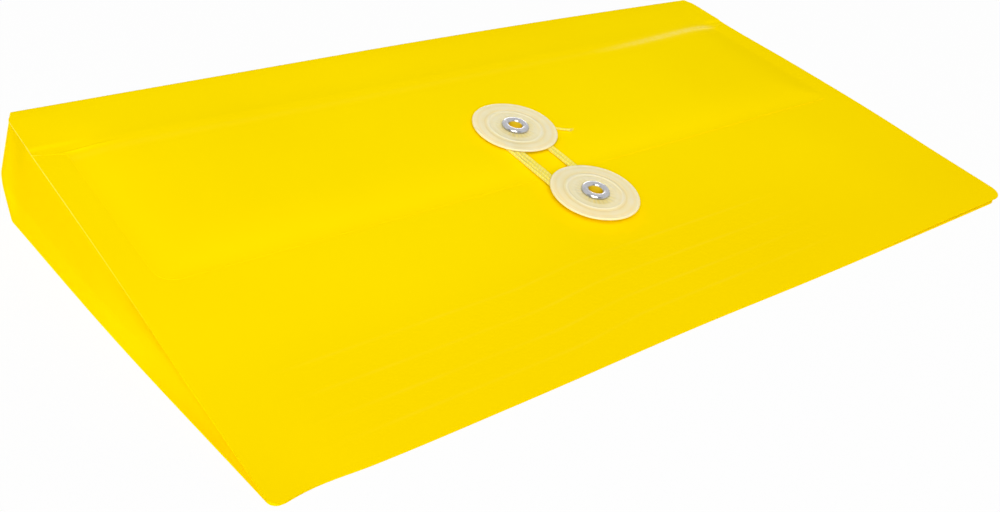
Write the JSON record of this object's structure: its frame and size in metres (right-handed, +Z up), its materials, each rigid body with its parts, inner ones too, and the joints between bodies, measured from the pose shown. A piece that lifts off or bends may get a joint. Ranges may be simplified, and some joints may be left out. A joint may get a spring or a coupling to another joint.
{
  "type": "string tie envelope",
  "caption": "Expanding plastic document envelope with side gussets and a wide flap held shut by a string wound round a pair of riveted discs.",
  "frame": {"origin": "middle of the envelope's footprint, on the underside of the back panel", "axes": "+X across the envelope, +Y from the welded front edge to the mouth, +Z up from the back panel"},
  "size_m": [0.254, 0.143, 0.0319],
  "materials": {
    "yellow_sheet": "smooth satin polypropylene sheet, slightly translucent",
    "cream_disc": "milky moulded plastic with raised rings",
    "eyelet_metal": "bright nickel plate",
    "white_string": "twisted soft string"
  },
  "bodies": {
    "back": {"back_panel": "yellow_sheet", "front_seam": "yellow_sheet", "left_gusset_upper": "yellow_sheet", "left_gusset_lower": "yellow_sheet", "right_gusset_upper": "yellow_sheet", "right_gusset_lower": "yellow_sheet"},
    "front": {"front_panel": "yellow_sheet", "lower_eyelet": "eyelet_metal", "string_winding": "white_string", "string_tail": "white_string"},
    "lower_disc": {"lower_disc": "cream_disc"},
    "spine": {"spine": "yellow_sheet"},
    "strip": {"flap_strip": "yellow_sheet"},
    "flap": {"flap": "yellow_sheet", "upper_eyelet": "eyelet_metal"},
    "upper_disc": {"upper_disc": "cream_disc"}
  },
  "joints": [
    {"name": "pocket_press", "type": "hinge", "parent": "back", "child": "front", "pos_m": [0, -0.06755, 0.0007], "axis": [1, 0, 0], "range_deg": [-12, 0], "stiffness_Nm_per_rad": 0.15, "springref_deg": 6.88, "deforming": ["left_gusset_upper", "left_gusset_lower", "right_gusset_upper", "right_gusset_lower", "string_winding", "string_tail"]},
    {"name": "spine_fold", "type": "hinge", "parent": "back", "child": "spine", "pos_m": [0, 0.06983, 0.0002], "axis": [-1, 0, 0], "range_deg": [0, 74], "deforming": ["string_winding", "string_tail"]},
    {"name": "top_fold", "type": "hinge", "parent": "spine", "child": "strip", "pos_m": [0, 0.06483, 0.03175], "axis": [-1, 0, 0], "range_deg": [0, 95], "deforming": ["string_winding", "string_tail"]},
    {"name": "flap_crease", "type": "hinge", "parent": "strip", "child": "flap", "pos_m": [0, 0.04515, 0.02819], "axis": [-1, 0, 0], "range_deg": [0, 12], "deforming": ["string_winding", "string_tail"]},
    {"name": "upper_disc_spin", "type": "hinge", "parent": "flap", "child": "upper_disc", "pos_m": [-0.0036, 0.01115, 0.02161], "axis": [0, -0.2294, 0.9733], "continuous": true},
    {"name": "lower_disc_spin", "type": "hinge", "parent": "front", "child": "lower_disc", "pos_m": [-0.0026, -0.02213, 0.01377], "axis": [0, -0.2294, 0.9733], "continuous": true}
  ]
}
